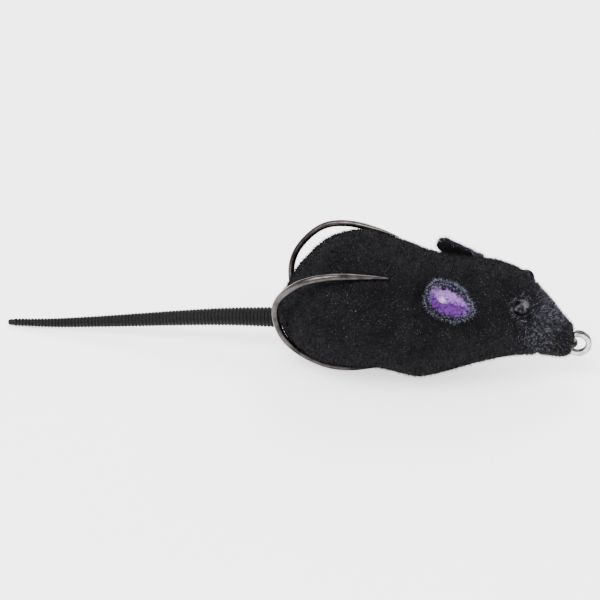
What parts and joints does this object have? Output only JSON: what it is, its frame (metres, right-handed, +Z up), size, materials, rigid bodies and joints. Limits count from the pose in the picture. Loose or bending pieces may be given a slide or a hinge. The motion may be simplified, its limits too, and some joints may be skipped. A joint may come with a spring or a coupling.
{
  "type": "topwater mouse fishing lure",
  "caption": "Hollow soft-bodied topwater lure shaped like a mouse, with a double hook folded up round the rump, a ribbed tail and a line ring at the nose",
  "frame": {"origin": "middle of the overall box, from the tail's tip to the front of the line ring, on the surface that the lure lies on", "axes": "+X runs along the body to the nose, +Y to the animal's left side, +Z up"},
  "size_m": [0.1327, 0.033, 0.0294],
  "materials": {
    "soft_body": "black flock on soft moulded plastic",
    "ear_soft": "purple inside, black flocked outside",
    "eye_bead": "glossy black bead",
    "hook_wire": "black nickel plated steel wire",
    "cast_weight": "dull grey cast metal",
    "bright_ring": "bright nickel plated spring wire",
    "tail_soft": "satin black soft plastic"
  },
  "bodies": {
    "root": {"belly_shell": "soft_body", "snout": "soft_body", "double_hook": "hook_wire", "belly_weight": "cast_weight", "eye_right": "eye_bead", "eye_left": "eye_bead", "tail_plug": "tail_soft"},
    "back": {"back_shell": "soft_body"},
    "ear_right": {"ear_right": "ear_soft"},
    "ear_left": {"ear_left": "ear_soft"},
    "ring": {"split_ring": "bright_ring"},
    "tail_1": {"tail_1": "tail_soft"},
    "tail_2": {"tail_2": "tail_soft"},
    "tail_3": {"tail_3": "tail_soft"},
    "tail_4": {"tail_4": "tail_soft"},
    "tail_5": {"tail_5": "tail_soft"},
    "tail_6": {"tail_6": "tail_soft"}
  },
  "joints": [
    {"name": "back_squeeze", "type": "hinge", "parent": "root", "child": "back", "pos_m": [0.04784, 0, 0.0158], "axis": [0, -1, 0], "range_deg": [0, 5], "stiffness_Nm_per_rad": 0.06, "springref_deg": -4.98},
    {"name": "ring_swing", "type": "hinge", "parent": "root", "child": "ring", "pos_m": [0.06269, 0, 0.0088], "axis": [0, 1, 0], "range_deg": [-30, 30]},
    {"name": "ear_right_flex", "type": "hinge", "parent": "back", "child": "ear_right", "pos_m": [0.04041, -0.01186, 0.02064], "axis": [0.3578, 0.6761, 0.6441], "range_deg": [-12, 12], "stiffness_Nm_per_rad": 0.002},
    {"name": "ear_left_flex", "type": "hinge", "parent": "back", "child": "ear_left", "pos_m": [0.04041, 0.01186, 0.02064], "axis": [-0.3578, 0.6761, -0.6441], "range_deg": [-12, 12], "stiffness_Nm_per_rad": 0.002},
    {"name": "tail_sway_1", "type": "hinge", "parent": "root", "child": "tail_1", "pos_m": [-0.00326, 0, 0.0085], "axis": [0, 0, 1], "range_deg": [-18, 18], "stiffness_Nm_per_rad": 0.002},
    {"name": "tail_sway_2", "type": "hinge", "parent": "tail_1", "child": "tail_2", "pos_m": [-0.01382, 0, 0.00758], "axis": [0, 0, 1], "range_deg": [-18, 18]},
    {"name": "tail_sway_3", "type": "hinge", "parent": "tail_2", "child": "tail_3", "pos_m": [-0.02433, 0, 0.00618], "axis": [0, 0, 1], "range_deg": [-18, 18]},
    {"name": "tail_sway_4", "type": "hinge", "parent": "tail_3", "child": "tail_4", "pos_m": [-0.03481, 0, 0.00457], "axis": [0, 0, 1], "range_deg": [-18, 18]},
    {"name": "tail_sway_5", "type": "hinge", "parent": "tail_4", "child": "tail_5", "pos_m": [-0.04529, 0, 0.00299], "axis": [0, 0, 1], "range_deg": [-18, 18]},
    {"name": "tail_sway_6", "type": "hinge", "parent": "tail_5", "child": "tail_6", "pos_m": [-0.0558, 0, 0.0016], "axis": [0, 0, 1], "range_deg": [-18, 18]}
  ],
  "couplings": [
    {"joint": "tail_sway_2", "follows": "tail_sway_1", "ratio": 1},
    {"joint": "tail_sway_3", "follows": "tail_sway_1", "ratio": 1},
    {"joint": "tail_sway_4", "follows": "tail_sway_1", "ratio": 1},
    {"joint": "tail_sway_5", "follows": "tail_sway_1", "ratio": 1},
    {"joint": "tail_sway_6", "follows": "tail_sway_1", "ratio": 1}
  ]
}
